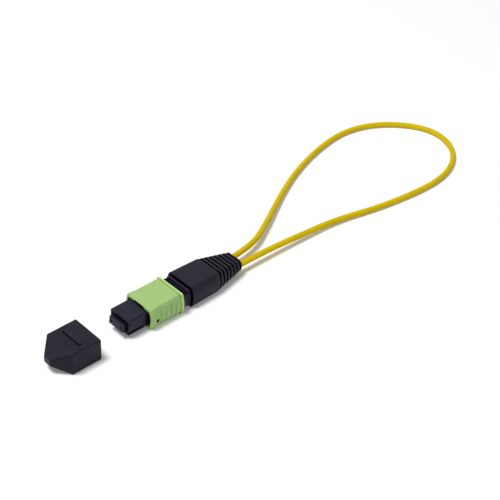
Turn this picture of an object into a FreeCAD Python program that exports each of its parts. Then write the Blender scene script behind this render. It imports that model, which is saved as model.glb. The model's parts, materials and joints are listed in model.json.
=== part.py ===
import FreeCAD, Part
import math
import os
import re
import Sketcher
from FreeCAD import Vector

# Multi-fibre loopback plug with its dust cap taken off, in millimetres.
# X is the plug's axis: the polished ferrule face is at the origin, the nose points to -X and the
# cable loop leaves towards +X. Z is up, and the sleeve, the boot and the cap rest on one table.

SIZES = {
    # Ferrule with two guide holes and a row of fibre holes
    "ferrule_width": 6.4,
    "ferrule_height": 2.5,
    "ferrule_reach": 5.0,
    "shoulder_length": 3.0,
    "shoulder_step_side": 0.3,
    "shoulder_step_top": 0.25,
    "polish_angle": 8.0,
    "guide_hole": 0.7,
    "guide_pitch": 4.6,
    "fibre_count": 12,
    "fibre_size": 0.125,
    "fibre_play": 0.005,
    "fibre_pitch": 0.25,
    "ribbon_height": 0.3,
    "ribbon_room": 0.05,
    "pocket_rim": 0.25,
    "pocket_height": 1.6,
    "pocket_depth": 4.2,
    "window_length": 1.4,
    # Rubber boot in the ferrule, pin keeper behind it and the main spring
    "grommet_play": 0.05,
    "grommet_tail": 1.8,
    "keeper_length": 2.0,
    "pin_neck": 0.5,
    "keeper_play_side": 0.2,
    "keeper_play_top": 0.2,
    "main_spring_size": 4.2,
    "main_spring_wire": 0.4,
    "main_spring_length": 6.6,
    "main_spring_turns": 6,
    # Plug housing
    "nose_setback": 1.35,
    "nose_side_length": 6.35,
    "nose_wall_side": 0.25,
    "nose_height": 5.6,
    "nose_chamfer": 0.45,
    "nose_bevel": 0.25,
    "mouth_bevel": 0.4,
    "rail_drop": 1.6,
    "rail_height": 0.6,
    "rail_depth": 0.3,
    "rail_stop": 0.5,
    "notch_size": 0.45,
    "notch_rise": 1.45,
    "notch_depth": 0.25,
    "ferrule_play": 0.12,
    "guide_length": 2.6,
    "bore_wall": 0.5,
    "latch_length": 3.9,
    "latch_depth": 0.45,
    "latch_height": 3.6,
    "stop_length": 1.2,
    "stop_ramp": 0.7,
    "stop_reach": 0.6,
    "key_setback": 1.0,
    "key_width": 3.4,
    "key_height": 0.45,
    "collar_step": 1.0,
    "collar_bulge": 0.7,
    "collar_corner": 0.5,
    "collar_length": 3.5,
    "slot_width": 10.3,
    "slot_length": 0.8,
    "slot_depth": 0.5,
    # Coupling sleeve and its two side springs
    "sleeve_play": 0.15,
    "sleeve_wall_side": 0.65,
    "sleeve_wall_top": 0.8,
    "sleeve_bulge": 0.75,
    "sleeve_corner": 0.3,
    "sleeve_mouth": 4.05,
    "sleeve_cover": 1.1,
    "sleeve_bevel": 0.15,
    "abutment_length": 1.0,
    "keyway_room": 0.6,
    "key_play": 0.15,
    "rim_step": 0.1,
    "rim_length": 0.9,
    "line_setback": 3.7,
    "line_length": 0.12,
    "line_depth": 0.05,
    "step_length": 0.3,
    "step_depth": 0.1,
    "tooth_count": 5,
    "tooth_pitch": 1.95,
    "tooth_depth": 0.18,
    "tooth_radius": 7.4,
    "tooth_sweep": 76,
    "sight_hole": 1.25,
    "sight_setback": 2.47,
    "sight_drop": 0.9,
    "side_spring_play": 0.1,
    "side_spring_wire": 0.2,
    "side_spring_length": 6.7,
    "side_spring_turns": 9,
    # Spring push, the rear body that closes the housing, with its yarn and crimp ring
    "push_play": 0.08,
    "push_bore": 3.5,
    "flange_length": 0.75,
    "flange_inset": 0.6,
    "flange_bevel": 0.15,
    "slit_setback": 0.25,
    "flange_slit": 0.25,
    "flange_slit_height": 0.9,
    "flange_slit_depth": 0.25,
    "boss_inset_side": 1.5,
    "boss_inset_top": 1.1,
    "boss_length": 2.4,
    "bead_height": 0.25,
    "bead_length": 0.6,
    "barrel_wall": 0.45,
    "barrel_length": 6.0,
    "yarn_thickness": 0.2,
    "crimp_setback": 0.4,
    "crimp_wall": 0.4,
    "crimp_length": 5.0,
    "crimp_play": 0.01,
    # Moulded boot with its ribbed tail
    "boot_width": 12.55,
    "boot_height": 7.7,
    "boot_bulge": 1.0,
    "boot_corner": 1.2,
    "boot_waist": 11.85,
    "boot_length": 23.45,
    "reveal_length": 0.5,
    "reveal_depth": 0.8,
    "tail_length": 12.1,
    "tail_width": 7.3,
    "tail_height": 4.05,
    "tail_drop": 0.28,
    "tail_bulge": 0.75,
    "tail_corner": 0.95,
    "rib_count": 7,
    "rib_pitch": 1.68,
    "rib_setback": 0.85,
    "rib_gap": 0.6,
    "rib_depth": 0.75,
    "rib_depth_end": 0.42,
    "boot_play": 0.12,
    "chamber_width": 6.6,
    "chamber_height": 2.8,
    # Loop cable and the two fibre bundles that lead into it
    "cable_size": 2.0,
    "cable_spacing": 4.1,
    "cable_drop": 0.7,
    "cable_play": 0.04,
    "cable_depth": 6.2,
    "cable_grip": 0.3,
    "bundle_width": 0.9,
    "bundle_height": 0.6,
    # Dust cap
    "cap_gap": 18.8,
    "cap_seat": 0.15,
    "cap_play": 0.2,
    "cap_room": 1.0,
    "cap_floor": 0.45,
    "cap_wall_side": 1.55,
    "cap_wall_top": 0.85,
    "cap_edge": 0.3,
    "cap_nose_length": 4.6,
    "cap_tip_width": 3.0,
    "cap_tip_height": 2.3,
    "cap_grip_width": 8.0,
    "cap_grip_length": 2.0,
    "cap_grip_height": 0.38,
    "cap_grip_setback": 4.3,
}

# Sizes, and places along X, that follow from the driving sizes
DERIVED = {
    "shoulder_width": "ferrule_width + 2 * shoulder_step_side",
    "shoulder_height": "ferrule_height + 2 * shoulder_step_top",
    "ferrule_rear": "ferrule_reach + shoulder_length",
    "polish_shift": "ferrule_height / 2 * tan(polish_angle)",
    "ribbon_width": "fibre_count * fibre_pitch",
    "slit_width": "ribbon_width + 2 * ribbon_room",
    "slit_height": "ribbon_height + 2 * ribbon_room",
    "pocket_width": "slit_width + 2 * pocket_rim",
    "pocket_front": "ferrule_rear - pocket_depth",
    "grommet_width": "pocket_width - 2 * grommet_play",
    "grommet_height": "pocket_height - 2 * grommet_play",
    "bore_width": "shoulder_width + 2 * keeper_play_side",
    "bore_height": "nose_height - 2 * bore_wall",
    "nose_width": "bore_width + 2 * (latch_depth + nose_wall_side)",
    "bore_front": "ferrule_reach + guide_length",
    "keeper_height": "bore_height - 2 * keeper_play_top",
    "keeper_rear": "ferrule_rear + keeper_length",
    "latch_start": "nose_setback + nose_side_length",
    "stop_start": "latch_start + latch_length",
    "stop_end": "stop_start + stop_length",
    "key_front": "nose_setback + key_setback",
    "abutment_end": "stop_end + abutment_length",
    "collar_front": "abutment_end + side_spring_length",
    "collar_rear": "collar_front + collar_length",
    "collar_width": "nose_width + 2 * collar_step",
    "sleeve_front": "stop_end - sleeve_mouth",
    "sleeve_rear": "collar_front + sleeve_cover",
    "sleeve_length": "sleeve_rear - sleeve_front",
    "sleeve_inner_width": "collar_width + 2 * sleeve_play",
    "sleeve_inner_height": "nose_height + 2 * sleeve_play",
    "sleeve_width": "sleeve_inner_width + 2 * sleeve_wall_side",
    "sleeve_height": "sleeve_inner_height + 2 * sleeve_wall_top",
    "keyway_width": "key_width + 2 * keyway_room",
    "keyway_height": "sleeve_inner_height + 2 * key_height + 2 * key_play",
    "rim_front": "sleeve_rear - rim_length",
    "teeth_front": "rim_front - tooth_count * tooth_pitch",
    "side_spring_size": "collar_step + sleeve_play - 2 * side_spring_play",
    "side_spring_place": "(nose_width + collar_step + sleeve_play) / 2",
    "push_front": "keeper_rear + main_spring_length",
    "flange_rear": "collar_rear + flange_length",
    "boss_width": "boot_width - 2 * boss_inset_side",
    "boss_height": "boot_height - 2 * boss_inset_top",
    "boss_rear": "flange_rear + boss_length",
    "bead_front": "flange_rear + (boss_length - bead_length) / 2",
    "barrel_size": "push_bore + 2 * barrel_wall",
    "barrel_rear": "boss_rear + barrel_length",
    "crimp_front": "boss_rear + crimp_setback",
    "yarn_inner": "barrel_size + 2 * crimp_play",
    "yarn_size": "yarn_inner + 2 * yarn_thickness",
    "crimp_inner": "yarn_size + 2 * crimp_play",
    "crimp_size": "crimp_inner + 2 * crimp_wall",
    "boot_rear": "flange_rear + boot_length",
    "tail_front": "boot_rear - tail_length",
    "cable_start": "boot_rear - cable_depth",
    "socket_front": "cable_start - cable_grip",
    "socket_size": "cable_size + 2 * cable_play",
    "cap_cavity_width": "nose_width + 2 * cap_play",
    "cap_cavity_height": "nose_height + 2 * cap_play",
    "cap_depth": "sleeve_front - cap_seat + polish_shift + cap_room",
    "cap_width": "cap_cavity_width + 2 * cap_wall_side",
    "cap_height": "cap_cavity_height + 2 * cap_wall_top",
    "cap_rear": "sleeve_front - cap_seat - cap_gap",
    "cap_front": "cap_rear - cap_depth - cap_floor",
    "cap_grip_front": "cap_rear - cap_grip_setback - cap_grip_length",
}

# The cable's route from one socket of the boot, round the loop on the table, to the other socket
CABLE_ROUTE = [
    (42.0, 2.05, -0.7),
    (57.5, 2.05, -0.7),
    (72.6, 9.9, -1.6),
    (88.5, 19.3, -2.5),
    (104.3, 26.9, -2.85),
    (121.0, 32.1, -2.85),
    (137.0, 34.4, -2.85),
    (150.4, 30.5, -2.85),
    (160.2, 21.8, -2.85),
    (164.6, 12.0, -2.85),
    (161.4, 1.0, -2.85),
    (152.2, -6.8, -2.85),
    (139.8, -10.3, -2.85),
    (125.4, -9.8, -2.85),
    (108.8, -7.4, -2.85),
    (92.5, -3.4, -2.5),
    (75.7, -2.6, -1.6),
    (58.5, -2.05, -0.7),
    (42.0, -2.05, -0.7),
]
ARC_SHARE = 0.45

# Facets of a coil spring: runs in one turn, and sides of its wire
SPRING_RUNS = 14
SPRING_SIDES = 6

UP = Vector(0, 0, 1)

os.makedirs("parts", exist_ok=True)
doc = FreeCAD.newDocument("loopback_plug")
dims = doc.addObject("Spreadsheet::Sheet", "dims")
for row, (alias, number) in enumerate(SIZES.items(), start=1):
    dims.set("A%d" % row, alias)
    dims.set("B%d" % row, str(number))
    dims.setAlias("B%d" % row, alias)
doc.recompute()


def formula(text):
    """The text with each size's name written out as cells of the sheet."""

    def written_out(match):
        word = match.group()
        if word in SIZES:
            return "dims." + word
        if word in DERIVED:
            return "(" + formula(DERIVED[word]) + ")"
        return word

    return re.sub(r"[a-z][a-z_]*", written_out, text)


def value(text):
    """The number that a formula comes to."""
    return float(dims.evalExpression(formula(text)))


def new_body(label):
    body = doc.addObject("PartDesign::Body", label)
    body.Label = label
    return body


def new_sketch(body, plane, offset=None):
    """A sketch on one of the body's own origin planes, shifted along the plane's normal."""
    sketch = body.newObject("Sketcher::SketchObject", "Sketch")
    origin = [item for item in body.Origin.OriginFeatures if item.Role == plane][0]
    sketch.AttachmentSupport = [(origin, "")]
    sketch.MapMode = "FlatFace"
    if offset:
        sketch.setExpression("AttachmentOffset.Base.z", formula(offset))
    return sketch


def section_at(body, place):
    """A sketch across the plug's axis, with Y to its right and Z up."""
    return new_sketch(body, "YZ_Plane", place)


def bind(sketch, kind, *where_and_text):
    """A dimension of the sketch that follows a formula."""
    *where, text = where_and_text
    index = sketch.addConstraint(Sketcher.Constraint(kind, *where, value(text)))
    sketch.setExpression("Constraints[%d]" % index, formula(text))


def polygon(sketch, corners):
    """A closed outline of straight lines whose corners are pairs of formulas."""
    first = sketch.GeometryCount
    count = len(corners)
    points = [Vector(value(across), value(up), 0) for across, up in corners]
    for index in range(count):
        sketch.addGeometry(Part.LineSegment(points[index], points[(index + 1) % count]), False)
    for index in range(count):
        following = first + (index + 1) % count
        sketch.addConstraint(Sketcher.Constraint("Coincident", first + index, 2, following, 1))
    for index, (across, up) in enumerate(corners):
        bind(sketch, "DistanceX", -1, 1, first + index, 1, across)
        bind(sketch, "DistanceY", -1, 1, first + index, 1, up)


def rectangle(sketch, width, height, across="0", up="0"):
    """A rectangle about a centre."""
    left = f"{across} - ({width}) / 2"
    right = f"{across} + ({width}) / 2"
    low = f"{up} - ({height}) / 2"
    high = f"{up} + ({height}) / 2"
    polygon(sketch, [(left, low), (right, low), (right, high), (left, high)])


def cut_rectangle(sketch, width, height, cut):
    """A centred rectangle with its corners cut off at 45 degrees."""
    side = f"({width}) / 2"
    top = f"({height}) / 2"
    inner_side = f"({width}) / 2 - {cut}"
    inner_top = f"({height}) / 2 - {cut}"
    quarter = [(side, inner_top), (inner_side, top)]
    corners = []
    for sign_across, sign_up in ((1, 1), (-1, 1), (-1, -1), (1, -1)):
        turned = quarter if sign_across == sign_up else quarter[::-1]
        corners += [(f"{sign_across} * ({a})", f"{sign_up} * ({u})") for a, u in turned]
    polygon(sketch, corners)


def circle(sketch, size, across="0", up="0"):
    index = sketch.addGeometry(
        Part.Circle(Vector(value(across), value(up), 0), UP, value(size) / 2), False
    )
    bind(sketch, "Diameter", index, size)
    bind(sketch, "DistanceX", -1, 1, index, 3, across)
    bind(sketch, "DistanceY", -1, 1, index, 3, up)


def pillow(sketch, width, height, bulge, corner, up="0"):
    """An outline about a level, with a flat top and bottom, bulged sides and rounded corners."""
    level = value(up)
    side = value(width) / 2
    top = value(height) / 2
    swell = value(bulge)
    rounding = value(corner)
    radius = (top**2 + swell**2) / (2 * swell)
    center = side - radius
    flat = center + math.sqrt((radius - rounding) ** 2 - (top - rounding) ** 2)
    lean = math.atan2(top - rounding, flat - center)
    first = sketch.GeometryCount

    def line(start, end, height):
        ends = [Vector(across, level + height, 0) for across in (start, end)]
        sketch.addGeometry(Part.LineSegment(*ends), False)

    def arc(across, height, size, start, end):
        round_line = Part.Circle(Vector(across, level + height, 0), UP, size)
        sketch.addGeometry(Part.ArcOfCircle(round_line, start, end), False)

    line(-flat, flat, -top)
    arc(flat, rounding - top, rounding, -math.pi / 2, -lean)
    arc(center, 0, radius, -lean, lean)
    arc(flat, top - rounding, rounding, lean, math.pi / 2)
    line(flat, -flat, top)
    arc(-flat, top - rounding, rounding, math.pi / 2, math.pi - lean)
    arc(-center, 0, radius, math.pi - lean, math.pi + lean)
    arc(-flat, rounding - top, rounding, math.pi + lean, 3 * math.pi / 2)
    bottom_line, top_line, right_side, left_side = first, first + 4, first + 2, first + 6
    for index in range(8):
        following = first + (index + 1) % 8
        sketch.addConstraint(Sketcher.Constraint("Tangent", first + index, 2, following, 1))
    for flat_line in (bottom_line, top_line):
        sketch.addConstraint(Sketcher.Constraint("Horizontal", flat_line))
    bind(sketch, "DistanceY", -1, 1, top_line, 1, f"{up} + ({height}) / 2")
    bind(sketch, "DistanceY", -1, 1, bottom_line, 1, f"{up} - ({height}) / 2")
    for corner_arc in (first + 1, first + 3, first + 5, first + 7):
        bind(sketch, "Radius", corner_arc, corner)
    side_radius = f"(({height}) ^ 2 / 4 + ({bulge}) ^ 2) / (2 * ({bulge}))"
    for side_arc in (right_side, left_side):
        bind(sketch, "DistanceY", -1, 1, side_arc, 3, up)
        bind(sketch, "Radius", side_arc, side_radius)
    bind(sketch, "DistanceX", right_side, 3, -1, 1, f"{side_radius} - ({width}) / 2")
    bind(sketch, "DistanceX", -1, 1, left_side, 3, f"{side_radius} - ({width}) / 2")


def pad(body, sketch, length, both_ways=False):
    """Material along the sketch's normal, or half of it each way."""
    feature = body.newObject("PartDesign::Pad", "Pad")
    feature.Profile = sketch
    feature.setExpression("Length", formula(length))
    if both_ways:
        feature.SideType = "Symmetric"
    return feature


def pocket(body, sketch, length, both_ways=False, inward=False):
    """A cut along the sketch's normal, half of it each way, or inward against the normal."""
    doc.recompute()
    before = body.Shape.Volume
    feature = body.newObject("PartDesign::Pocket", "Pocket")
    feature.Profile = sketch
    feature.setExpression("Length", formula(length))
    feature.Reversed = not inward
    if both_ways:
        feature.SideType = "Symmetric"
    doc.recompute()
    if not feature.Shape.Volume < before:
        raise RuntimeError("a cut in %s removes nothing" % body.Label)
    return feature


def loft(body, start, end):
    """Material between two sketches with matching outlines."""
    feature = body.newObject("PartDesign::AdditiveLoft", "Loft")
    feature.Profile = start
    feature.Sections = [end]
    feature.Ruled = True
    return feature


def bevel(body, size, chosen):
    """A chamfer on the edges of the body's last shape that a test picks."""
    doc.recompute()
    base = body.Tip
    names = ["Edge%d" % (i + 1) for i, edge in enumerate(base.Shape.Edges) if chosen(edge)]
    feature = body.newObject("PartDesign::Chamfer", "Chamfer")
    feature.Base = (base, names)
    feature.setExpression("Size", formula(size))
    return feature


def lies_at(place, widest=None, narrowest=None):
    """A test for edges across the axis at a place, within or beyond a distance from the axis."""
    along = value(place)
    near = 0.001

    def test(edge):
        box = edge.BoundBox
        reach = max(abs(box.YMin), abs(box.YMax), abs(box.ZMin), abs(box.ZMax))
        level = abs(box.XMin - along) < near and abs(box.XMax - along) < near
        within = widest is None or reach < widest
        beyond = narrowest is None or reach > narrowest
        return level and within and beyond

    return test


def make_ferrule():
    """Rectangular ferrule with a shoulder, an angled polish, guide holes and fibre holes."""
    body = new_body("mt_ferrule")
    tip = section_at(body, "-polish_shift")
    rectangle(tip, "ferrule_width", "ferrule_height")
    pad(body, tip, "ferrule_reach + polish_shift")
    shoulder = section_at(body, "ferrule_reach")
    rectangle(shoulder, "shoulder_width", "shoulder_height")
    pad(body, shoulder, "shoulder_length")
    polish = new_sketch(body, "XZ_Plane")
    low = ("-polish_shift", "-ferrule_height / 2")
    high = ("polish_shift", "ferrule_height / 2")
    polygon(polish, [low, high, ("-polish_shift", "ferrule_height / 2")])
    pocket(body, polish, "shoulder_width", both_ways=True)
    rear = section_at(body, "pocket_front")
    rectangle(rear, "pocket_width", "pocket_height")
    pocket(body, rear, "pocket_depth")
    window = new_sketch(body, "XY_Plane", "ferrule_height / 2")
    rectangle(window, "window_length", "slit_width", "pocket_front - window_length / 2")
    pocket(body, window, "(ferrule_height + fibre_size) / 2 + fibre_play", inward=True)
    guides = section_at(body, "-polish_shift")
    for side in (-1, 1):
        circle(guides, "guide_hole", f"{side} * guide_pitch / 2")
    pocket(body, guides, "ferrule_rear + polish_shift")
    holes = section_at(body, "-polish_shift")
    for index in range(int(value("fibre_count"))):
        circle(holes, "fibre_size + 2 * fibre_play", fibre_place(index))
    pocket(body, holes, "pocket_front + polish_shift")
    return body


def fibre_place(index):
    """Where one fibre of the row lies, to the side of the axis."""
    return f"({index} - (fibre_count - 1) / 2) * fibre_pitch"


def make_ferrule_fibres():
    """The row of fibre ends that is bonded into the ferrule."""
    body = new_body("ferrule_fibres")
    body.AllowCompound = True
    ends = section_at(body, None)
    for index in range(int(value("fibre_count"))):
        circle(ends, "fibre_size", fibre_place(index))
    pad(body, ends, "pocket_front")
    return body


def make_ferrule_boot():
    """Rubber boot that guides the ribbon into the back of the ferrule."""
    body = new_body("ferrule_boot")
    outline = section_at(body, "pocket_front")
    rectangle(outline, "grommet_width", "grommet_height")
    pad(body, outline, "pocket_depth + grommet_tail")
    slit = section_at(body, "pocket_front")
    rectangle(slit, "slit_width", "slit_height")
    pocket(body, slit, "pocket_depth + grommet_tail")
    return body


def make_pin_keeper():
    """Block behind the ferrule that the main spring bears on, with two empty slots for pins."""
    body = new_body("pin_keeper")
    outline = section_at(body, "ferrule_rear")
    rectangle(outline, "shoulder_width", "keeper_height")
    pad(body, outline, "keeper_length")
    openings = section_at(body, "ferrule_rear")
    rectangle(openings, "grommet_width + 2 * grommet_play", "grommet_height + 2 * grommet_play")
    neck_reach = "shoulder_width - guide_pitch + pin_neck"
    for side in (-1, 1):
        rectangle(openings, neck_reach, "pin_neck", f"{side} * shoulder_width / 2")
    pocket(body, openings, "keeper_length")
    return body


def make_housing():
    """Plug housing: keyed nose, latch pockets, sleeve stops and the collar behind the sleeve."""
    body = new_body("plug_housing")
    nose = section_at(body, "nose_setback")
    cut_rectangle(nose, "nose_width", "nose_height", "nose_chamfer")
    pad(body, nose, "collar_rear - nose_setback")
    bevel(body, "nose_bevel", lies_at("nose_setback"))
    collar = section_at(body, "collar_front")
    pillow(collar, "collar_width", "nose_height", "collar_bulge", "collar_corner")
    pad(body, collar, "collar_length")
    key = section_at(body, "key_front")
    rectangle(key, "key_width", "nose_height / 2 + key_height", "0", "-(nose_height / 2 + key_height) / 2")
    pad(body, key, "stop_start - key_front")
    stops = new_sketch(body, "XY_Plane")
    for side in (-1, 1):
        foot = f"{side} * (nose_width / 2 - latch_depth)"
        reach = f"{side} * (nose_width / 2 + stop_reach)"
        ramp = ("stop_start + stop_ramp", reach)
        polygon(stops, [("stop_start", foot), ramp, ("stop_end", reach), ("stop_end", foot)])
    pad(body, stops, "latch_height", both_ways=True)
    latches = new_sketch(body, "XY_Plane")
    for side in (-1, 1):
        inner = f"{side} * (nose_width / 2 - latch_depth)"
        outer = f"{side} * nose_width / 2"
        polygon(
            latches,
            [("latch_start", inner), ("stop_start", inner), ("stop_start", outer), ("latch_start", outer)],
        )
    pocket(body, latches, "latch_height", both_ways=True)
    rails = section_at(body, "nose_setback")
    for side in (-1, 1):
        rectangle(rails, "2 * rail_depth", "rail_height", f"{side} * nose_width / 2", "-rail_drop")
    pocket(body, rails, "nose_side_length - rail_stop")
    notch = new_sketch(body, "XZ_Plane", "nose_width / 2")
    rectangle(notch, "notch_size", "notch_size", "nose_setback + nose_bevel + notch_size / 2", "notch_rise")
    pocket(body, notch, "notch_depth", inward=True)
    slots = section_at(body, "collar_rear - slot_length")
    for side in (-1, 1):
        rectangle(slots, "slot_width", "slot_depth", "0", f"{side} * (nose_height - slot_depth) / 2")
    pocket(body, slots, "slot_length")
    mouth = section_at(body, "nose_setback")
    rectangle(mouth, "ferrule_width + 2 * ferrule_play", "ferrule_height + 2 * ferrule_play")
    pocket(body, mouth, "ferrule_reach - nose_setback")
    guide = section_at(body, "ferrule_reach")
    rectangle(guide, "shoulder_width + 2 * ferrule_play", "shoulder_height + 2 * ferrule_play")
    pocket(body, guide, "guide_length")
    bore = section_at(body, "bore_front")
    rectangle(bore, "bore_width", "bore_height")
    pocket(body, bore, "collar_rear - bore_front")
    mouth_reach = value("ferrule_width / 2 + 2 * ferrule_play")
    bevel(body, "mouth_bevel", lies_at("nose_setback", widest=mouth_reach))
    return body


def make_sleeve():
    """Coupling sleeve: toothed grip, raised rear rim, key grooves and inner spring abutments."""
    body = new_body("coupling_sleeve")
    shell = section_at(body, "sleeve_front")
    pillow(shell, "sleeve_width", "sleeve_height", "sleeve_bulge", "sleeve_corner")
    pad(body, shell, "sleeve_length")
    bevel(body, "sleeve_bevel", lies_at("sleeve_front"))
    for side in (-1, 1):
        cut_teeth(body, side)
    for place, length, depth in (
        ("sleeve_front + line_setback", "line_length", "line_depth"),
        ("rim_front - step_length", "step_length", "step_depth"),
    ):
        width = f"sleeve_width - 2 * {depth}"
        height = f"sleeve_height - 2 * {depth}"
        ring_cut(body, place, length, width, height, "sleeve_bulge", "sleeve_corner")
    rim = section_at(body, "rim_front")
    pillow(
        rim,
        "sleeve_width + 2 * rim_step",
        "sleeve_height + 2 * rim_step",
        "sleeve_bulge",
        "sleeve_corner",
    )
    pad(body, rim, "rim_length")
    bevel(body, "rim_step", lies_at("sleeve_rear"))
    for front, length in (("sleeve_front", "sleeve_mouth"), ("abutment_end", "sleeve_rear - abutment_end")):
        hollow = section_at(body, front)
        pillow(hollow, "sleeve_inner_width", "sleeve_inner_height", "collar_bulge", "collar_corner")
        pocket(body, hollow, length)
    passage = section_at(body, "stop_end")
    rectangle(passage, "nose_width + 2 * sleeve_play", "sleeve_inner_height")
    pocket(body, passage, "abutment_length")
    keyways = section_at(body, "sleeve_front")
    rectangle(keyways, "keyway_width", "keyway_height")
    pocket(body, keyways, "sleeve_mouth")
    spot = new_sketch(body, "XZ_Plane", "sleeve_width / 2")
    circle(spot, "sight_hole", "sleeve_front + sight_setback", "-sight_drop")
    pocket(body, spot, "sleeve_bulge + sleeve_wall_side", inward=True)
    return body


def cut_teeth(body, side):
    """Saw teeth across one bulged side, each with its steep flank towards the nose."""
    profile = new_sketch(body, "XY_Plane")
    surface = f"{side} * sleeve_width / 2"
    floor = f"{side} * (sleeve_width / 2 - tooth_depth)"
    clear = f"{side} * (sleeve_width / 2 + sleeve_bulge)"
    corners = []
    for index in range(int(value("tooth_count"))):
        corners.append((f"teeth_front + {index} * tooth_pitch", surface))
        corners.append((f"teeth_front + {index + 1} * tooth_pitch", floor))
    polygon(profile, corners + [("rim_front", clear), ("teeth_front", clear)])
    center = f"{side} * (sleeve_width / 2 - tooth_radius)"
    axis = Part.LineSegment(
        Vector(value("teeth_front"), value(center), 0), Vector(value("rim_front"), value(center), 0)
    )
    index = profile.addGeometry(axis, True)
    for point, place in ((1, "teeth_front"), (2, "rim_front")):
        bind(profile, "DistanceX", -1, 1, index, point, place)
        bind(profile, "DistanceY", -1, 1, index, point, center)
    groove = body.newObject("PartDesign::Groove", "Groove")
    groove.Profile = profile
    groove.ReferenceAxis = (profile, ["Axis0"])
    groove.setExpression("Angle", formula("tooth_sweep"))
    groove.Midplane = True


def make_spring_push():
    """Rear body: plug in the housing, flange, boss for the boot and barrel for the crimp ring."""
    body = new_body("spring_push")
    plug = section_at(body, "push_front")
    rectangle(plug, "bore_width - 2 * push_play", "bore_height - 2 * push_play")
    pad(body, plug, "collar_rear - push_front")
    flange = section_at(body, "collar_rear")
    pillow(
        flange,
        "boot_width - 2 * flange_inset",
        "boot_height - 2 * flange_inset",
        "boot_bulge",
        "boot_corner",
    )
    pad(body, flange, "flange_length")
    bevel(body, "flange_bevel", lies_at("collar_rear", narrowest=value("bore_width / 2")))
    slits = new_sketch(body, "XY_Plane")
    for side in (-1, 1):
        edge = f"{side} * (boot_width / 2 - flange_inset)"
        along = "collar_rear + slit_setback + flange_slit / 2"
        rectangle(slits, "flange_slit", "2 * flange_slit_depth", along, edge)
    pocket(body, slits, "flange_slit_height", both_ways=True)
    boss = section_at(body, "flange_rear")
    rectangle(boss, "boss_width", "boss_height")
    pad(body, boss, "boss_length")
    bead = section_at(body, "bead_front")
    rectangle(bead, "boss_width + 2 * bead_height", "boss_height + 2 * bead_height")
    pad(body, bead, "bead_length")
    barrel = section_at(body, "boss_rear")
    circle(barrel, "barrel_size")
    pad(body, barrel, "barrel_length")
    bore = section_at(body, "push_front")
    circle(bore, "push_bore")
    pocket(body, bore, "barrel_rear - push_front")
    return body


def make_ring(label, inner, outer):
    """A plain ring on the barrel of the spring push."""
    body = new_body(label)
    outline = section_at(body, "crimp_front")
    circle(outline, outer)
    circle(outline, inner)
    pad(body, outline, "crimp_length")
    return body


def along_tail(start, end, place):
    """A size part of the way down the tail of the boot."""
    return f"({start} + ({end} - ({start})) * ({place} - tail_front) / tail_length)"


def ring_cut(body, place, length, width, height, bulge, corner, up="0"):
    """A groove round a pillow that leaves a smaller one as its floor."""
    sketch = section_at(body, place)
    rectangle(sketch, "2 * boot_width", "2 * boot_height")
    pillow(sketch, width, height, bulge, corner, up)
    pocket(body, sketch, length)


def make_boot():
    """Moulded boot: bulged grip, tapered tail with ribs, and sockets for both cable ends."""
    body = new_body("strain_relief_boot")
    stations = (
        ("flange_rear", "boot_width", "boot_height", "boot_bulge", "boot_corner", "0"),
        ("tail_front", "boot_waist", "boot_height", "boot_bulge", "boot_corner", "0"),
        ("boot_rear", "tail_width", "tail_height", "tail_bulge", "tail_corner", "-tail_drop"),
    )
    for start, end in zip(stations, stations[1:]):
        sections = []
        for place, *outline in (start, end):
            sketch = section_at(body, place)
            pillow(sketch, *outline)
            sections.append(sketch)
        loft(body, *sections)
    ring_cut(
        body,
        "flange_rear",
        "reveal_length",
        "boot_width - 2 * reveal_depth",
        "boot_height - 2 * reveal_depth",
        "boot_bulge",
        "boot_corner",
    )
    for index in range(int(value("rib_count"))):
        place = f"(tail_front + rib_setback + {index} * rib_pitch)"
        width = along_tail("boot_waist", "tail_width", place)
        height = along_tail("boot_height", "tail_height", place)
        bulge = along_tail("boot_bulge", "tail_bulge", place)
        corner = along_tail("boot_corner", "tail_corner", place)
        depth = along_tail("rib_depth", "rib_depth_end", place)
        ring_cut(
            body,
            place,
            "rib_gap",
            f"{width} - 2 * {depth}",
            f"{height} - 2 * {depth}",
            bulge,
            f"{corner} - {depth} / 2",
            along_tail("0", "-tail_drop", place),
        )
    seat = section_at(body, "flange_rear")
    rectangle(seat, "boss_width + 2 * boot_play", "boss_height + 2 * boot_play")
    pocket(body, seat, "boss_length + boot_play")
    groove = section_at(body, "bead_front - boot_play")
    lip = "2 * bead_height + 2 * boot_play"
    rectangle(groove, f"boss_width + {lip}", f"boss_height + {lip}")
    pocket(body, groove, "bead_length + 2 * boot_play")
    bore = section_at(body, "boss_rear")
    circle(bore, "crimp_size + 2 * boot_play")
    pocket(body, bore, "barrel_length + boot_play")
    chamber = section_at(body, "barrel_rear")
    rectangle(chamber, "chamber_width", "chamber_height")
    pocket(body, chamber, "socket_front - barrel_rear")
    sockets = section_at(body, "socket_front")
    for side in (-1, 1):
        circle(sockets, "socket_size", f"{side} * cable_spacing / 2", "-cable_drop")
    pocket(body, sockets, "boot_rear - socket_front")
    return body


def make_ribbon():
    """Fibre ribbon from the ferrule to the barrel's end, and its two halves to the cable ends."""
    body = new_body("fibre_ribbon")
    flat = section_at(body, "pocket_front")
    rectangle(flat, "ribbon_width", "ribbon_height")
    pad(body, flat, "barrel_rear - pocket_front")
    for side in (-1, 1):
        start = section_at(body, "barrel_rear")
        rectangle(start, "ribbon_width / 2", "ribbon_height", f"{side} * ribbon_width / 4")
        end = section_at(body, "cable_start")
        rectangle(end, "bundle_width", "bundle_height", f"{side} * cable_spacing / 2", "-cable_drop")
        loft(body, start, end)
    return body


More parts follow.
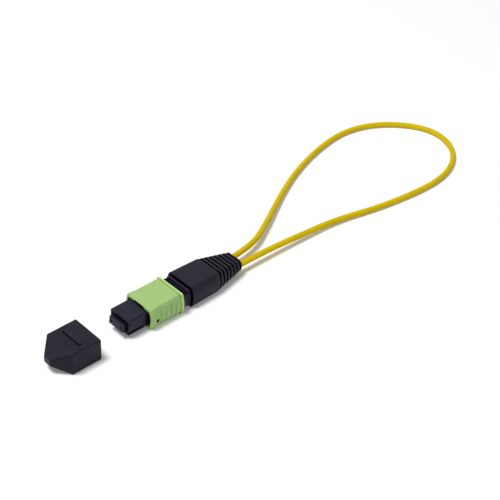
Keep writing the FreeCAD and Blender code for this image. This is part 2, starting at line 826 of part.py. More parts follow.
def make_cap():
    """Dust cap: box with a tapered nose, a hollow for the plug's nose and a wedge to grip."""
    body = new_body("dust_cap")
    box = section_at(body, "cap_front")
    cut_rectangle(box, "cap_width", "cap_height", "cap_edge")
    pad(body, box, "cap_rear - cap_front")
    root = section_at(body, "cap_front")
    cut_rectangle(root, "cap_width", "cap_height", "cap_edge")
    tip = section_at(body, "cap_front - cap_nose_length")
    cut_rectangle(tip, "cap_tip_width", "cap_tip_height", "cap_edge")
    loft(body, root, tip)
    wedge = new_sketch(body, "XZ_Plane")
    foot = "cap_height / 2 - cap_edge"
    crest = "cap_height / 2 + cap_grip_height"
    polygon(
        wedge,
        [
            ("cap_grip_front", foot),
            ("cap_grip_front + cap_grip_length", foot),
            ("cap_grip_front + cap_grip_length", "cap_height / 2"),
            ("cap_grip_front", crest),
        ],
    )
    pad(body, wedge, "cap_grip_width", both_ways=True)
    hollow = section_at(body, "cap_rear - cap_depth")
    rectangle(hollow, "cap_cavity_width", "cap_cavity_height")
    pocket(body, hollow, "cap_depth")
    keyway = section_at(body, "cap_rear - cap_depth")
    rectangle(keyway, "keyway_width", "key_height", "0", "-(cap_cavity_height + key_height) / 2")
    pocket(body, keyway, "cap_depth")
    return body


def make_spring(label, front, length, size, wire, turns, across="0"):
    """A round-wire coil spring along X, as facets: runs round the coil by sides of the wire."""
    wire_radius = value(wire) / 2
    coil_radius = value(size) / 2 - wire_radius
    rise = value(length) - 2 * wire_radius
    steps = int(round(value(turns))) * SPRING_RUNS
    rings = []
    for step in range(steps + 1):
        angle = 2 * math.pi * step / SPRING_RUNS
        outward = Vector(0, math.cos(angle), math.sin(angle))
        center = Vector(wire_radius + rise * step / steps, 0, 0) + outward * coil_radius
        turned = [2 * math.pi * side / SPRING_SIDES for side in range(SPRING_SIDES)]
        ring = [
            center + outward * (math.cos(turn) * wire_radius) + Vector(math.sin(turn) * wire_radius, 0, 0)
            for turn in turned
        ]
        rings.append(ring)
    faces = [Part.Face(Part.makePolygon(ring + ring[:1])) for ring in (rings[0], rings[-1])]
    for ring, following in zip(rings, rings[1:]):
        for side in range(SPRING_SIDES):
            beside = (side + 1) % SPRING_SIDES
            near, far = ring[side], following[beside]
            for third in (ring[beside], following[side]):
                faces.append(Part.Face(Part.makePolygon([near, third, far, near])))
    shell = Part.makeShell(faces)
    shell.sewShape()
    spring = doc.addObject("Part::Feature", label)
    spring.Label = label
    solid = Part.makeSolid(shell)
    if solid.Volume < 0:
        solid.reverse()
    spring.Shape = solid
    spring.Placement = FreeCAD.Placement(Vector(value(front), value(across), 0), FreeCAD.Rotation())
    return spring


def make_cable():
    """The loop cable's jacket along its route: straight runs joined by tangent arcs."""
    shift = Vector(value("cable_start") - CABLE_ROUTE[0][0], 0, 0)
    points = [Vector(*point) + shift for point in CABLE_ROUTE]
    edges = []
    radii = []
    last = points[0]
    for before, corner, after in zip(points, points[1:], points[2:]):
        inward = before - corner
        onward = after - corner
        trim = ARC_SHARE * min(inward.Length, onward.Length)
        half_turn = (math.pi - inward.getAngle(onward)) / 2
        radii.append(trim / math.tan(half_turn))
        start = corner + inward.normalize() * trim
        end = corner + onward.normalize() * trim
        toward_center = (inward + onward).normalize()
        middle = corner + toward_center * (radii[-1] / math.cos(half_turn) - radii[-1])
        edges.append(Part.LineSegment(last, start).toShape())
        edges.append(Part.Arc(start, middle, end).toShape())
        last = end
    edges.append(Part.LineSegment(last, points[-1]).toShape())
    path = Part.Wire(edges)
    radius = value("cable_size") / 2
    rim = Part.Wire(Part.Circle(points[0], points[1] - points[0], radius).toShape())
    tube = path.makePipeShell([rim], True, True)
    section_volume = math.pi * radius**2 * path.Length
    print("cable length %.1f, tube volume over section times length %.4f" % (
        path.Length, tube.Volume / section_volume))
    print("cable radii", [round(radius, 1) for radius in radii])
    cable = doc.addObject("Part::Feature", "loop_cable")
    cable.Label = "loop_cable"
    cable.Shape = tube
    cable.Placement = FreeCAD.Placement()
    return cable


pieces = [
    make_ferrule(),
    make_ferrule_fibres(),
    make_ferrule_boot(),
    make_pin_keeper(),
    make_housing(),
    make_sleeve(),
    make_spring_push(),
    make_ring("aramid_yarn", "yarn_inner", "yarn_size"),
    make_ring("crimp_ring", "crimp_inner", "crimp_size"),
    make_boot(),
    make_ribbon(),
    make_cable(),
    make_cap(),
    make_spring(
        "ferrule_spring",
        "keeper_rear",
        "main_spring_length",
        "main_spring_size",
        "main_spring_wire",
        "main_spring_turns",
    ),
]
for name, side in (("left", 1), ("right", -1)):
    pieces.append(
        make_spring(
            "sleeve_spring_" + name,
            "abutment_end",
            "side_spring_length",
            "side_spring_size",
            "side_spring_wire",
            "side_spring_turns",
            f"{side} * side_spring_place",
        )
    )
doc.recompute()

for item in doc.Objects:
    if "Invalid" in item.State or "Error" in item.State:
        raise RuntimeError("%s failed: %s" % (item.Label, item.State))
for piece in pieces:
    if piece.Shape.isNull() or not piece.Shape.isValid():
        raise RuntimeError("%s has no valid shape" % piece.Label)
for piece in pieces:
    piece.Shape.exportStep("parts/%s.step" % piece.Label)
print("%d pieces written" % len(pieces))
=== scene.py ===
import bpy
import json
import math
from mathutils import Matrix, Vector


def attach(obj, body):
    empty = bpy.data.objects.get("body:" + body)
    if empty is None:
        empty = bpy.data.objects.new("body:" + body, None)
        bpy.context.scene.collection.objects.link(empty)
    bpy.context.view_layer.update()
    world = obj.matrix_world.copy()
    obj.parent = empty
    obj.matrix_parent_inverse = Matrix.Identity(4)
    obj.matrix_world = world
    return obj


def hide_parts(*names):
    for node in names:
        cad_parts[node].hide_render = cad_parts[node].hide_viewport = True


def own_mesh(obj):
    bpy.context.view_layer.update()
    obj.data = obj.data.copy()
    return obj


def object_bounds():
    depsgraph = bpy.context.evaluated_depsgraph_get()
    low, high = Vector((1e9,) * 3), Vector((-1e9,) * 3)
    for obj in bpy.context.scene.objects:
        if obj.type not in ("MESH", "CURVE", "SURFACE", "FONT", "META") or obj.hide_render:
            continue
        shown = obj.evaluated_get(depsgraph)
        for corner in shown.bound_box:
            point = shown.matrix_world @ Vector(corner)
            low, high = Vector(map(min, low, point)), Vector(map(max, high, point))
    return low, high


# Looks of a multi-fibre loopback plug with its dust cap taken off, in metres, around its solids
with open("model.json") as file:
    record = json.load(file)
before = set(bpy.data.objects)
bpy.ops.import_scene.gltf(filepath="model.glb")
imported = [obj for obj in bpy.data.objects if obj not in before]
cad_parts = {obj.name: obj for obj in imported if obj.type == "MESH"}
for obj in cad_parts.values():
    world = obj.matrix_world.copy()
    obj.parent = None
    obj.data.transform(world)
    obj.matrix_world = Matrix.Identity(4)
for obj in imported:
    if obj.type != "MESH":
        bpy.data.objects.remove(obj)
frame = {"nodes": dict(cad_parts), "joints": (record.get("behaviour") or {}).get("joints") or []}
CAD_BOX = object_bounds()
NODES = frame["nodes"]
MM = 0.001
TABLE = -3.85 * MM
WHITE = (1, 1, 1, 1)


def add_object(name, data):
    obj = bpy.data.objects.new(name, data)
    bpy.context.scene.collection.objects.link(obj)
    return obj


# Camera at the photograph's angle: its place, and its azimuth, elevation and roll in degrees
IMAGE_SIZE = 500
FOCAL_PIXELS = 1200
SENSOR = 36.0
NEAREST = 0.005
FARTHEST = 20
CAMERA_PLACE = Vector((-0.165508, -0.215869, 0.237050))
CAMERA_TURN = (-45.617, 37.424, 3.620)


def make_camera():
    azimuth, elevation, roll = (math.radians(angle) for angle in CAMERA_TURN)
    back = Vector(
        (
            math.sin(azimuth) * math.cos(elevation),
            -math.cos(azimuth) * math.cos(elevation),
            math.sin(elevation),
        )
    )
    level = Vector((math.cos(azimuth), math.sin(azimuth), 0))
    upright = back.cross(level)
    right = level * math.cos(roll) + upright * math.sin(roll)
    up = upright * math.cos(roll) - level * math.sin(roll)
    data = bpy.data.cameras.new("camera")
    data.sensor_width = SENSOR
    data.lens = FOCAL_PIXELS / IMAGE_SIZE * SENSOR
    data.clip_start = NEAREST
    data.clip_end = FARTHEST
    camera = add_object("camera", data)
    turn = Matrix((right, up, back)).transposed().to_4x4()
    camera.matrix_world = Matrix.Translation(CAMERA_PLACE) @ turn
    bpy.context.scene.camera = camera


# Materials
class Graph:
    """A material's nodes, made one after another."""

    def __init__(self, name):
        self.material = bpy.data.materials.new(name)
        self.material.use_nodes = True
        self.tree = self.material.node_tree
        self.shader = self.tree.nodes["Principled BSDF"]
        self.place = self.add("ShaderNodeTexCoord").outputs["Object"]

    def add(self, kind, **settings):
        node = self.tree.nodes.new(kind)
        for key, setting in settings.items():
            setattr(node, key, setting)
        return node

    def link(self, source, target):
        self.tree.links.new(source, target)

    def feed(self, socket, source):
        """Links an output to one of the shader's sockets."""
        self.link(source, self.shader.inputs[socket])

    def fix(self, socket, setting):
        """Sets one of the shader's sockets to the same value all over."""
        self.shader.inputs[socket].default_value = setting

    def noise(self, scale, detail, shares=None):
        """A noise of so many waves per metre, or of a share of them along each axis."""
        node = self.add("ShaderNodeTexNoise")
        node.inputs["Scale"].default_value = scale
        node.inputs["Detail"].default_value = detail
        place = self.place
        if shares:
            mapping = self.add("ShaderNodeMapping")
            mapping.inputs["Scale"].default_value = shares
            self.link(place, mapping.inputs["Vector"])
            place = mapping.outputs["Vector"]
        self.link(place, node.inputs["Vector"])
        return node.outputs["Fac"]

    def ramp(self, source, low, high, start=0.35, end=0.65):
        """A number that goes from low to high as the source goes from start to end."""
        node = self.add("ShaderNodeMapRange")
        node.inputs["From Min"].default_value = start
        node.inputs["From Max"].default_value = end
        node.inputs["To Min"].default_value = low
        node.inputs["To Max"].default_value = high
        self.link(source, node.inputs["Value"])
        return node.outputs["Result"]

    def rise(self, source, start, end, share=1):
        """A number that goes from 0 to share between two places in millimetres."""
        return self.ramp(source, 0, share, start * MM, end * MM)

    def fall(self, source, start, end, share=1):
        """A number that goes from share to 0 between two places in millimetres."""
        return self.ramp(source, share, 0, start * MM, end * MM)

    def number(self, operation, *sources):
        """The result of an operation on outputs and plain numbers."""
        node = self.add("ShaderNodeMath", operation=operation)
        for socket, source in zip(node.inputs, sources):
            if isinstance(source, (int, float)):
                socket.default_value = source
            else:
                self.link(source, socket)
        return node.outputs[0]

    def product(self, first, *others):
        for other in others:
            first = self.number("MULTIPLY", first, other)
        return first

    def most(self, first, *others):
        """The largest of several outputs."""
        for other in others:
            first = self.number("MAXIMUM", first, other)
        return first

    def along(self, axis):
        """The place along an axis, in metres."""
        node = self.add("ShaderNodeSeparateXYZ")
        self.link(self.place, node.inputs["Vector"])
        return node.outputs[axis]

    def gap(self, axis, centre=0):
        """How far a place is along an axis from a centre in millimetres, either way."""
        return self.number("ABSOLUTE", self.number("SUBTRACT", self.along(axis), centre * MM))

    def distance(self, *gaps):
        """The length of a line whose gaps along two axes are given."""
        squares = [self.number("MULTIPLY", gap, gap) for gap in gaps]
        return self.number("SQRT", self.number("ADD", *squares))

    def box(self, centre, reach, soft):
        """1 in a box of a centre and half sizes in millimetres, fading to 0 just outside it."""
        shares = []
        for axis, middle, half in zip("XYZ", centre, reach):
            shares.append(self.fall(self.gap(axis, middle), half, half + soft))
        return self.product(*shares)

    def mix(self, amount, first, second):
        """A colour between two, by an amount from 0 to 1."""
        node = self.add("ShaderNodeMix", data_type="RGBA")
        self.link(amount, node.inputs["Factor"])
        for socket, colour in (("A", first), ("B", second)):
            target = [i for i in node.inputs if i.name == socket and i.type == "RGBA"][0]
            if isinstance(colour, tuple):
                target.default_value = (*colour, 1)
            else:
                self.link(colour, target)
        return [o for o in node.outputs if o.type == "RGBA"][0]

    def cloudy(self, pattern, dark, light):
        """A colour between dark and light by a pattern."""
        return self.mix(self.ramp(pattern, 0, 1), dark, light)

    def blend(self, amount, first, second):
        """A shader between two, by an amount from 0 to 1."""
        node = self.add("ShaderNodeMixShader")
        self.link(amount, node.inputs["Fac"])
        self.link(first.outputs[0], node.inputs[1])
        self.link(second.outputs[0], node.inputs[2])
        return node

    def bump(self, *heights):
        """Bumps of (pattern, height in millimetres, strength), each on the one before."""
        normal = None
        for pattern, height, strength in heights:
            node = self.add("ShaderNodeBump")
            node.inputs["Distance"].default_value = height * MM
            node.inputs["Strength"].default_value = strength
            self.link(pattern, node.inputs["Height"])
            if normal:
                self.link(normal, node.inputs["Normal"])
            normal = node.outputs["Normal"]
        self.feed("Normal", normal)


# Moulded plastic: waves per metre of its noises, the strength and noise levels of its flecks,
# the colour of the shade painted in its hollows and the tint of its gloss
CLOUDS = 420
FLECKS = 2600
GRAIN = 9000
SINKS = 700
FLECK_SHARE = 0.35
FLECK_LEVELS = (0.5, 0.72)
SHADE = (0.0025, 0.002, 0.005)
COOL = (0.74, 0.72, 1.0)


def moulded(
    name, dark, light, rough, gloss=0.15, sheen=(1, 1, 1), grain=GRAIN, fleck=None, zones=()
):
    """Moulded plastic: cloudy colour, flecks, fine grain, uneven gloss and zones of painted shade
    and highlight.
    """
    graph = Graph(name)
    cloud = graph.noise(CLOUDS, 4)
    flecked = graph.ramp(graph.noise(FLECKS, 2), 0, FLECK_SHARE, *FLECK_LEVELS)
    colour = graph.mix(flecked, graph.cloudy(cloud, dark, light), fleck or light)
    shaded = []
    for zone in zones:
        inside, zone_colour = zone(graph)
        colour = graph.mix(inside, colour, zone_colour)
        if zone_colour == SHADE:
            shaded.append(inside)
    if shaded:
        # Where shade is painted, the gloss goes too: as dark metal the plastic mirrors only the
        # painted shade
        graph.feed("Metallic", graph.most(*shaded))
    graph.feed("Base Color", colour)
    graph.fix("Specular IOR Level", gloss)
    graph.fix("Specular Tint", (*sheen, 1))
    graph.feed("Roughness", graph.ramp(cloud, *rough))
    graph.bump((graph.noise(grain, 2), 0.02, 0.25), (graph.noise(SINKS, 2), 0.03, 0.2))
    return graph.material


# Zones of painted shade on the plug housing, in millimetres like all zones: a pair is where a
# zone's edge starts and ends, and a box is its centre, its half sizes and the width of its edge
SOFT_EDGE = 0.02
MOUTH = (8.0, 9.0)
MOUTH_SHARE = 0.4
BEHIND_MOUTH = (10.2, 10.8)
NECK_FRONT = (20.3, 20.6)
NECK_SIDE = (2.1, 2.5)
FACE_BOX = ((1.35, 0, 0), (0.2, 4.0, 2.4), 0.08)
FACE_SHARE = 0.75
RAIL_BOX = ((4.3, 0, -1.6), (2.95, 4.36, 0.3), SOFT_EDGE)
NOTCH_BOX = ((1.825, 0, 1.45), (0.24, 4.36, 0.24), SOFT_EDGE)


def recess_shade(graph):
    """Painted shade on the housing at and behind the sleeve's mouth, but for the sides of its neck.
    """
    along = graph.along("X")
    mouth = graph.most(graph.rise(along, *MOUTH, MOUTH_SHARE), graph.rise(along, *BEHIND_MOUTH))
    neck = graph.rise(along, *NECK_FRONT)
    neck_side = graph.product(neck, graph.fall(graph.gap("Z"), *NECK_SIDE))
    return graph.product(mouth, graph.number("SUBTRACT", 1.0, neck_side)), SHADE


def nose_hollow_shade(graph):
    """Painted shade on the nose's face round the ferrule, the rails low on its sides and its notch.
    """
    face = graph.product(graph.box(*FACE_BOX), FACE_SHARE)
    return graph.most(face, graph.box(*RAIL_BOX), graph.box(*NOTCH_BOX)), SHADE


# Zones of painted shade on the ferrule
GUIDE_PLACE = 2.3
GUIDE_WALL = (0.37, 0.4)
FERRULE_FLANK = (0.25, 1.2)
FERRULE_FLANK_SHARE = 0.5


def guide_hole_shade(graph):
    """Painted shade on the walls of the ferrule's two guide holes."""
    beside = graph.number("SUBTRACT", graph.gap("Y"), GUIDE_PLACE * MM)
    return graph.fall(graph.distance(beside, graph.along("Z")), *GUIDE_WALL), SHADE


def ferrule_flank_shade(graph):
    """Painted shade on the ferrule's flanks towards the nose, which stands over them."""
    return graph.rise(graph.along("X"), *FERRULE_FLANK, FERRULE_FLANK_SHARE), SHADE


# Zones of painted shade on the dust cap
GRIP_FRONT = -16.5
GRIP_SIDE = 4.0
GRIP_TOP = (3.8, 3.83)
STEP_REACH = (0.1, 0.14)
STEP_END = (GRIP_SIDE + 0.08, GRIP_SIDE + 0.12)
GRIP_FLANK_MIDDLE = GRIP_FRONT + 0.6
GRIP_FLANK_REACH = (0.08, 0.12)
GRIP_FLANK_END = (0.6, 0.8)


def grip_foot_shade(graph):
    """Painted shade on the step at the front of the cap's grip and at the foot of the grip's
    flanks.
    """
    across = graph.gap("Y")
    step = graph.product(
        graph.fall(graph.gap("X", GRIP_FRONT), *STEP_REACH),
        graph.fall(across, *STEP_END),
    )
    from_flank = graph.number("ABSOLUTE", graph.number("SUBTRACT", across, GRIP_SIDE * MM))
    flank = graph.product(
        graph.fall(from_flank, *GRIP_FLANK_REACH),
        graph.fall(graph.gap("X", GRIP_FLANK_MIDDLE), *GRIP_FLANK_END),
    )
    return graph.product(graph.most(step, flank), graph.rise(graph.along("Z"), *GRIP_TOP)), SHADE


# Zones of the coupling sleeve: a painted highlight on its rim and painted shade in its hollows
RIM_FRONT = (20.72, 20.8)
# Painted highlight: the rim's lighter green
RIM_HIGHLIGHT = (0.5, 0.72, 0.26)
RIM_FOOT = 20.58
RIM_FOOT_REACH = (0.1, 0.18)
RIM_FOOT_SHARE = 0.8
RIM_FOOT_HEIGHT = (2.6, 2.8)
RIM_FOOT_SHADE = (0.2, 0.37, 0.09)
TEETH_START = 10.95
TEETH_END = (20.68, 20.7)
TOOTH_PITCH = 1.95
TOOTH_FOOT = (TOOTH_PITCH - 0.55, TOOTH_PITCH - 0.03)
TOOTH_SHARE = 0.6
TOOTH_SIDE = (5.4, 5.8)
TOOTH_SHADE = (0.19, 0.33, 0.1)
SIGHT_PLACE = (11.22, -0.9)
SIGHT_WALL = (0.64, 0.68)
NEAR_SIDE = (-2, 0)
SIGHT_SHADE = (0.008, 0.014, 0.004)


def rim(graph):
    """The sleeve's rear rim, painted lighter green all round as a highlight."""
    return graph.rise(graph.along("X"), *RIM_FRONT), RIM_HIGHLIGHT


def rim_foot_shade(graph):
    """Painted shade: a darker green line in the corner between the sleeve's top and its raised rim.
    """
    near = graph.fall(graph.gap("X", RIM_FOOT), *RIM_FOOT_REACH, RIM_FOOT_SHARE)
    return graph.product(near, graph.rise(graph.gap("Z"), *RIM_FOOT_HEIGHT)), RIM_FOOT_SHADE


def tooth_foot_shade(graph):
    """Painted shade at the low end of each tooth of the sleeve's grip, where the next tooth shades
    it.
    """
    along = graph.along("X")
    from_teeth = graph.number("SUBTRACT", along, TEETH_START * MM)
    from_tooth = graph.number("FLOORED_MODULO", from_teeth, TOOTH_PITCH * MM)
    low_end = graph.rise(from_tooth, *TOOTH_FOOT, TOOTH_SHARE)
    toothed = graph.product(graph.rise(from_teeth, -SOFT_EDGE, 0), graph.fall(along, *TEETH_END))
    return graph.product(low_end, toothed, graph.rise(graph.gap("Y"), *TOOTH_SIDE)), TOOTH_SHADE


def sight_hole_shade(graph):
    """Painted shade on the wall of the sight hole on the sleeve's near side, so the hole looks
    dark.
    """
    along, height = SIGHT_PLACE
    hole = graph.fall(graph.distance(graph.gap("X", along), graph.gap("Z", height)), *SIGHT_WALL)
    return graph.product(hole, graph.fall(graph.along("Y"), *NEAR_SIDE)), SIGHT_SHADE


# Zones of painted shade on the boot
RIBS_START = 36.95
RIB_PITCH = 1.68
RIB_GAP = 0.6
RIB_SHADE = 0.07
REVEAL_END = 25.3


def grooves(graph):
    """Painted shade on the floors and walls of the grooves between the boot's ribs and behind the
    flange.
    """
    along = graph.along("X")
    from_ribs = graph.number("SUBTRACT", along, (RIBS_START - RIB_SHADE) * MM)
    from_rib = graph.number("FLOORED_MODULO", from_ribs, RIB_PITCH * MM)
    width = RIB_GAP + 2 * RIB_SHADE
    between = graph.fall(from_rib, width, width + SOFT_EDGE)
    ribbed = graph.rise(from_ribs, -SOFT_EDGE, 0)
    behind_flange = graph.fall(along, REVEAL_END, REVEAL_END + SOFT_EDGE)
    return graph.most(graph.product(between, ribbed), behind_flange), SHADE


def jacket(name, dark, light, rough, gloss):
    """Extruded cable jacket: faint cloud, fine grain and a soft sheen."""
    graph = Graph(name)
    graph.feed("Base Color", graph.cloudy(graph.noise(160, 3), dark, light))
    graph.feed("Roughness", graph.ramp(graph.noise(900, 2), *rough))
    graph.fix("Specular IOR Level", gloss)
    graph.bump((graph.noise(6000, 2), 0.02, 0.2), (graph.noise(350, 1), 0.05, 0.15))
    return graph.material


def drawn_metal(name, dark, light, rough):
    """Drawn or turned metal: streaks round the plug's axis."""
    graph = Graph(name)
    streak = graph.noise(2400, 3, (1, 0.08, 0.08))
    graph.feed("Base Color", graph.cloudy(streak, dark, light))
    graph.feed("Roughness", graph.ramp(streak, *rough))
    graph.fix("Metallic", 1)
    graph.bump((streak, 0.01, 0.3))
    return graph.material


def fibre_glass(name, dark, light, rough):
    """Polished glass ends of the fibres, which look dark."""
    graph = Graph(name)
    cloud = graph.noise(5000, 2)
    graph.feed("Base Color", graph.cloudy(cloud, dark, light))
    graph.feed("Roughness", graph.ramp(cloud, *rough))
    return graph.material


def yarn(name, dark, light, rough):
    """Loose yarn: strands along the plug's axis."""
    graph = Graph(name)
    strand = graph.noise(5200, 3, (0.06, 1, 1))
    graph.feed("Base Color", graph.cloudy(strand, dark, light))
    graph.feed("Roughness", graph.ramp(strand, *rough))
    graph.bump((strand, 0.08, 0.8))
    return graph.material


BLACK_LOOK = {
    "dark": (0.0052, 0.0048, 0.0125),
    "light": (0.0095, 0.009, 0.0185),
    "rough": (0.4, 0.52),
    "gloss": 0.2,
    "sheen": COOL,
    "fleck": (0.05, 0.048, 0.068),
}
RUBBER_LOOK = {
    "dark": (0.007, 0.0064, 0.0115),
    "light": (0.0105, 0.0098, 0.0165),
    "rough": (0.46, 0.6),
    "gloss": 0.18,
    "sheen": COOL,
    "fleck": (0.034, 0.033, 0.044),
}
BLACK = moulded("black_plastic", **BLACK_LOOK)
HOUSING = moulded("housing_plastic", **BLACK_LOOK, zones=(recess_shade, nose_hollow_shade))
RUBBER = moulded("boot_rubber", **RUBBER_LOOK)
RIBBED = moulded("ribbed_rubber", **RUBBER_LOOK, zones=(grooves,))
CAP = moulded(
    "cap_plastic",
    dark=(0.0088, 0.0084, 0.015),
    light=(0.0125, 0.012, 0.0195),
    rough=(0.36, 0.48),
    gloss=0.13,
    sheen=COOL,
    fleck=(0.045, 0.044, 0.055),
    zones=(grip_foot_shade,),
)
RESIN = moulded(
    "ferrule_resin",
    dark=(0.016, 0.0155, 0.03),
    light=(0.023, 0.0225, 0.039),
    rough=(0.32, 0.42),
    sheen=COOL,
    grain=14000,
    zones=(guide_hole_shade, ferrule_flank_shade),
)
GREEN = moulded(
    "green_plastic",
    dark=(0.365, 0.565, 0.195),
    light=(0.38, 0.585, 0.21),
    rough=(0.42, 0.52),
    zones=(rim, rim_foot_shade, tooth_foot_shade, sight_hole_shade),
)
RIBBON = moulded(
    "ribbon_coating",
    dark=(0.45, 0.52, 0.58),
    light=(0.58, 0.63, 0.68),
    rough=(0.2, 0.3),
    gloss=0.5,
)
YELLOW = jacket(
    "yellow_jacket",
    dark=(0.66, 0.475, 0.0),
    light=(0.71, 0.515, 0.0),
    rough=(0.4, 0.52),
    gloss=0.08,
)
METAL_ROUGH = (0.26, 0.42)
STEEL = drawn_metal("spring_steel", (0.45, 0.46, 0.48), (0.62, 0.63, 0.65), METAL_ROUGH)
CRIMP = drawn_metal("crimp_metal", (0.6, 0.6, 0.6), (0.78, 0.78, 0.77), METAL_ROUGH)
GLASS = fibre_glass("fibre_glass", (0.03, 0.033, 0.04), (0.05, 0.054, 0.062), (0.05, 0.12))
YARN = yarn("yarn", (0.42, 0.3, 0.05), (0.72, 0.56, 0.16), (0.55, 0.75))

FINISHES = {
    "mt_ferrule": RESIN,
    "ferrule_fibres": GLASS,
    "ferrule_boot": RUBBER,
    "pin_keeper": BLACK,
    "plug_housing": HOUSING,
    "coupling_sleeve": GREEN,
    "spring_push": BLACK,
    "aramid_yarn": YARN,
    "crimp_ring": CRIMP,
    "strain_relief_boot": RIBBED,
    "fibre_ribbon": RIBBON,
    "dust_cap": CAP,
    "ferrule_spring": STEEL,
    "sleeve_spring_left": STEEL,
    "sleeve_spring_right": STEEL,
}


def paint(obj, material):
    obj.data.materials.clear()
    obj.data.materials.append(material)


# Rounded edges of the moulded pieces: radii in millimetres, and the least angle in degrees
EDGE_RADII = {
    "plug_housing": 0.09,
    "spring_push": 0.1,
    "strain_relief_boot": 0.1,
    "dust_cap": 0.14,
}
EDGE_STEPS = 3
EDGE_ANGLE = 28
JOIN_GAP = 0.001


def round_edges(obj, radius):
    """Joins the faces, then rounds the sharp edges and smooths the shading."""
    joined = obj.modifiers.new("joined", "WELD")
    joined.merge_threshold = JOIN_GAP * MM
    rounding = obj.modifiers.new("rounding", "BEVEL")
    rounding.width = radius * MM
    rounding.segments = EDGE_STEPS
    rounding.limit_method = "ANGLE"
    rounding.angle_limit = math.radians(EDGE_ANGLE)
    rounding.use_clamp_overlap = False
    obj.modifiers.new("shading", "WEIGHTED_NORMAL")


# The loop cable, along the route of its solid, in millimetres
CABLE_ROUTE = [
    (42.0, 2.05, -0.7),
    (57.5, 2.05, -0.7),
    (72.6, 9.9, -1.6),
    (88.5, 19.3, -2.5),
    (104.3, 26.9, -2.85),
    (121.0, 32.1, -2.85),
    (137.0, 34.4, -2.85),
    (150.4, 30.5, -2.85),
    (160.2, 21.8, -2.85),
    (164.6, 12.0, -2.85),
    (161.4, 1.0, -2.85),
    (152.2, -6.8, -2.85),
    (139.8, -10.3, -2.85),
    (125.4, -9.8, -2.85),
    (108.8, -7.4, -2.85),
    (92.5, -3.4, -2.5),
    (75.7, -2.6, -1.6),
    (58.5, -2.05, -0.7),
    (42.0, -2.05, -0.7),
]
CABLE_SIZE = 2.0


def make_cable():
    data = bpy.data.curves.new("loop_jacket", "CURVE")
    data.dimensions = "3D"
    data.bevel_depth = CABLE_SIZE / 2 * MM
    data.bevel_resolution = 6
    data.resolution_u = 12
    data.use_fill_caps = True
    spline = data.splines.new("NURBS")
    spline.points.add(len(CABLE_ROUTE) - 1)
    for point, place in zip(spline.points, CABLE_ROUTE):
        point.co = (*(number * MM for number in place), 1)
    spline.order_u = 3
    spline.use_endpoint_u = True
    cable = add_object("loop_jacket", data)
    data.materials.append(YELLOW)
    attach(cable, "plug")
    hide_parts("loop_cable")


def give_way(label):
    """Gives a spring or the fibres, which move with a joint, a mesh of their own."""
    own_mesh(NODES[label])


# Floor: half its width, where its shadow fades out, the colour that lights the part, and its glow
FLOOR_REACH = 4.0
LIT_REACH = (0.22, 0.5)
FLOOR_COLOUR = (0.86, 0.86, 0.87, 1)
FLOOR_GLOW = 0.09


def seen_by_eye(tree):
    """1 for what the camera sees, itself or in gloss and glass."""
    path = tree.nodes.new("ShaderNodeLightPath")
    seen = path.outputs["Is Camera Ray"]
    for ray in ("Is Glossy Ray", "Is Transmission Ray"):
        either = tree.nodes.new("ShaderNodeMath")
        either.operation = "MAXIMUM"
        tree.links.new(seen, either.inputs[0])
        tree.links.new(path.outputs[ray], either.inputs[1])
        seen = either.outputs[0]
    return seen


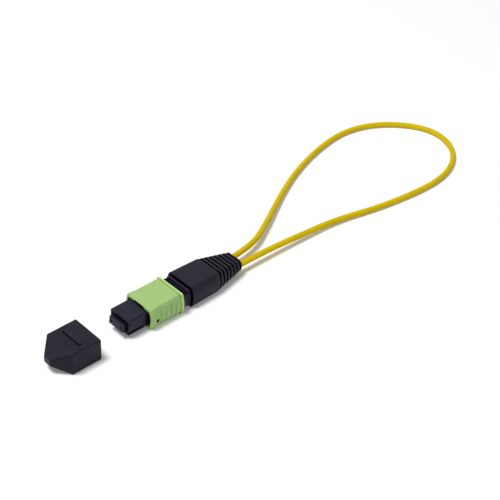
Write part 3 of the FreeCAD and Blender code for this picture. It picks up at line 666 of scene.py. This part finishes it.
def make_floor():
    """A white sweep that takes the part's soft shadow and is plain white further away."""
    mesh = bpy.data.meshes.new("floor")
    corners = [(-1, -1), (1, -1), (1, 1), (-1, 1)]
    places = [(x * FLOOR_REACH, y * FLOOR_REACH, TABLE) for x, y in corners]
    mesh.from_pydata(places, [], [(0, 1, 2, 3)])
    floor = add_object("floor", mesh)
    graph = Graph("floor")
    tree = graph.tree
    tree.nodes.remove(graph.shader)
    plain = graph.add("ShaderNodeBsdfDiffuse")
    plain.inputs["Color"].default_value = FLOOR_COLOUR
    seen = graph.add("ShaderNodeBsdfDiffuse")
    seen.inputs["Color"].default_value = WHITE
    glow = graph.add("ShaderNodeEmission")
    glow.inputs["Strength"].default_value = FLOOR_GLOW
    lit = graph.add("ShaderNodeAddShader")
    graph.link(seen.outputs[0], lit.inputs[0])
    graph.link(glow.outputs[0], lit.inputs[1])
    white = graph.add("ShaderNodeEmission")
    middle = (Vector(CAD_BOX[0]) + Vector(CAD_BOX[1])) / 2
    beside = graph.number("SUBTRACT", graph.along("X"), middle.x)
    across = graph.number("SUBTRACT", graph.along("Y"), middle.y)
    far = graph.ramp(graph.distance(beside, across), 0, 1, *LIT_REACH)
    sweep = graph.blend(far, lit, white)
    surface = graph.blend(seen_by_eye(tree), plain, sweep)
    graph.link(surface.outputs[0], tree.nodes["Material Output"].inputs["Surface"])
    mesh.materials.append(graph.material)


# Light: two soft round lamps, each with its place and power, and a dim sky that looks white
LAMPS = {
    "key": ((-0.45, 0.26, 1.5), 19.6),
    "fill": ((-0.5, -0.75, 0.3), 1.5),
}
LAMP_TARGET = (0.03, 0, 0)
LAMP_SIZE = 0.6
SKY_COLOUR = (0.97, 0.98, 1.0, 1)
SKY_STRENGTH = 0.25


def make_lamp(name, place, power):
    data = bpy.data.lights.new(name, "AREA")
    data.shape = "DISK"
    data.size = LAMP_SIZE
    data.energy = power
    lamp = add_object(name, data)
    lamp.location = place
    facing = Vector(LAMP_TARGET) - Vector(place)
    lamp.rotation_euler = facing.to_track_quat("-Z", "Y").to_euler()


def make_sky():
    world = bpy.data.worlds.new("studio")
    bpy.context.scene.world = world
    world.use_nodes = True
    tree = world.node_tree
    sky = tree.nodes["Background"]
    sky.inputs["Color"].default_value = SKY_COLOUR
    sky.inputs["Strength"].default_value = SKY_STRENGTH
    white = tree.nodes.new("ShaderNodeBackground")
    white.inputs["Color"].default_value = WHITE
    pick = tree.nodes.new("ShaderNodeMixShader")
    tree.links.new(seen_by_eye(tree), pick.inputs["Fac"])
    tree.links.new(sky.outputs[0], pick.inputs[1])
    tree.links.new(white.outputs[0], pick.inputs[2])
    tree.links.new(pick.outputs[0], tree.nodes["World Output"].inputs["Surface"])


make_camera()
make_cable()
for label, finish in FINISHES.items():
    paint(NODES[label], finish)
for label, radius in EDGE_RADII.items():
    round_edges(NODES[label], radius)
for joint in frame["joints"]:
    for soft in joint.get("deforming_nodes", []):
        give_way(soft["node"])
make_floor()
for name, (place, power) in LAMPS.items():
    make_lamp(name, place, power)
make_sky()
bpy.context.scene.view_settings.view_transform = "Standard"
